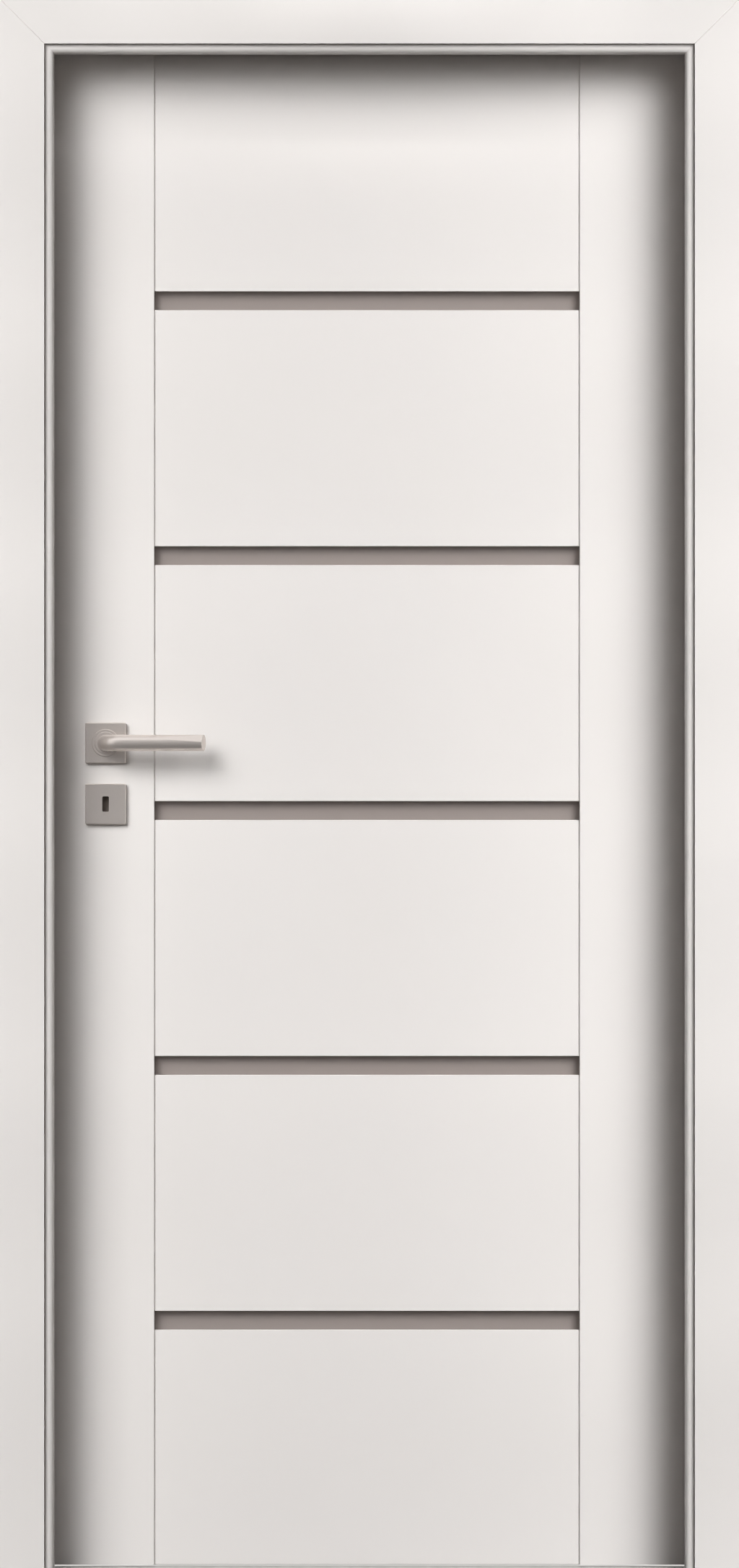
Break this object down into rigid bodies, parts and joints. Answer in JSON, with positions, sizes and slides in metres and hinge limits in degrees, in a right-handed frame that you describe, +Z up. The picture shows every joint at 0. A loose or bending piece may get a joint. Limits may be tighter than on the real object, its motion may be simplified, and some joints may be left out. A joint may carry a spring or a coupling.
{
  "type": "interior door with frame",
  "caption": "White rebated door leaf of stiles, wide panels and narrow frosted glass strips, hung in a wooden frame with flat mitred architraves, with lever handle and keyhole plate.",
  "frame": {"origin": "on the wall face of the hinge jamb, at floor level, in the middle of the wall's thickness", "axes": "+X out of the wall face of the hinge jamb, +Y from the front of the door to the back, where the leaf opens, +Z up"},
  "size_m": [0.9614, 0.2001, 2.0403],
  "materials": {
    "white_lacquer": "smooth white satin lacquer on fibreboard",
    "frosted_glass": "warm grey acid-etched glass",
    "satin_nickel": "satin nickel plate",
    "seal_rubber": "pale grey soft rubber"
  },
  "bodies": {
    "frame": {"hinge_jamb": "white_lacquer", "latch_jamb": "white_lacquer", "head_jamb": "white_lacquer", "front_architrave_hinge_side": "white_lacquer", "front_architrave_latch_side": "white_lacquer", "front_architrave_head": "white_lacquer", "back_architrave_hinge_side": "white_lacquer", "back_architrave_latch_side": "white_lacquer", "back_architrave_head": "white_lacquer", "seal_hinge_side": "seal_rubber", "seal_latch_side": "seal_rubber", "seal_head": "seal_rubber", "strike_plate": "satin_nickel", "hinge_upper_frame_half": "satin_nickel", "hinge_lower_frame_half": "satin_nickel"},
    "leaf": {"latch_stile": "white_lacquer", "hinge_stile": "white_lacquer", "panel_1": "white_lacquer", "panel_2": "white_lacquer", "panel_3": "white_lacquer", "panel_4": "white_lacquer", "panel_5": "white_lacquer", "panel_6": "white_lacquer", "glass_strip_1": "frosted_glass", "glass_strip_2": "frosted_glass", "glass_strip_3": "frosted_glass", "glass_strip_4": "frosted_glass", "glass_strip_5": "frosted_glass", "lock_faceplate": "satin_nickel", "lock_case": "satin_nickel", "latch_bolt": "satin_nickel", "dead_bolt": "satin_nickel", "front_lever_rosette": "satin_nickel", "front_lever_collar": "satin_nickel", "front_key_escutcheon": "satin_nickel", "back_lever_rosette": "satin_nickel", "back_lever_collar": "satin_nickel", "back_key_escutcheon": "satin_nickel", "hinge_upper_leaf_half": "satin_nickel", "hinge_lower_leaf_half": "satin_nickel"},
    "lever": {"front_lever": "satin_nickel", "back_lever": "satin_nickel", "spindle": "satin_nickel"}
  },
  "joints": [
    {"name": "leaf_swing", "type": "hinge", "parent": "frame", "child": "leaf", "pos_m": [-0.012, 0.076, 1], "axis": [0, 0, -1], "range_deg": [0, 170]},
    {"name": "lever_turn", "type": "hinge", "parent": "leaf", "child": "lever", "pos_m": [-0.7944, 0.0615, 1.0736], "axis": [0, 1, 0], "range_deg": [0, 40], "stiffness_Nm_per_rad": 2, "springref_deg": -20.05}
  ]
}
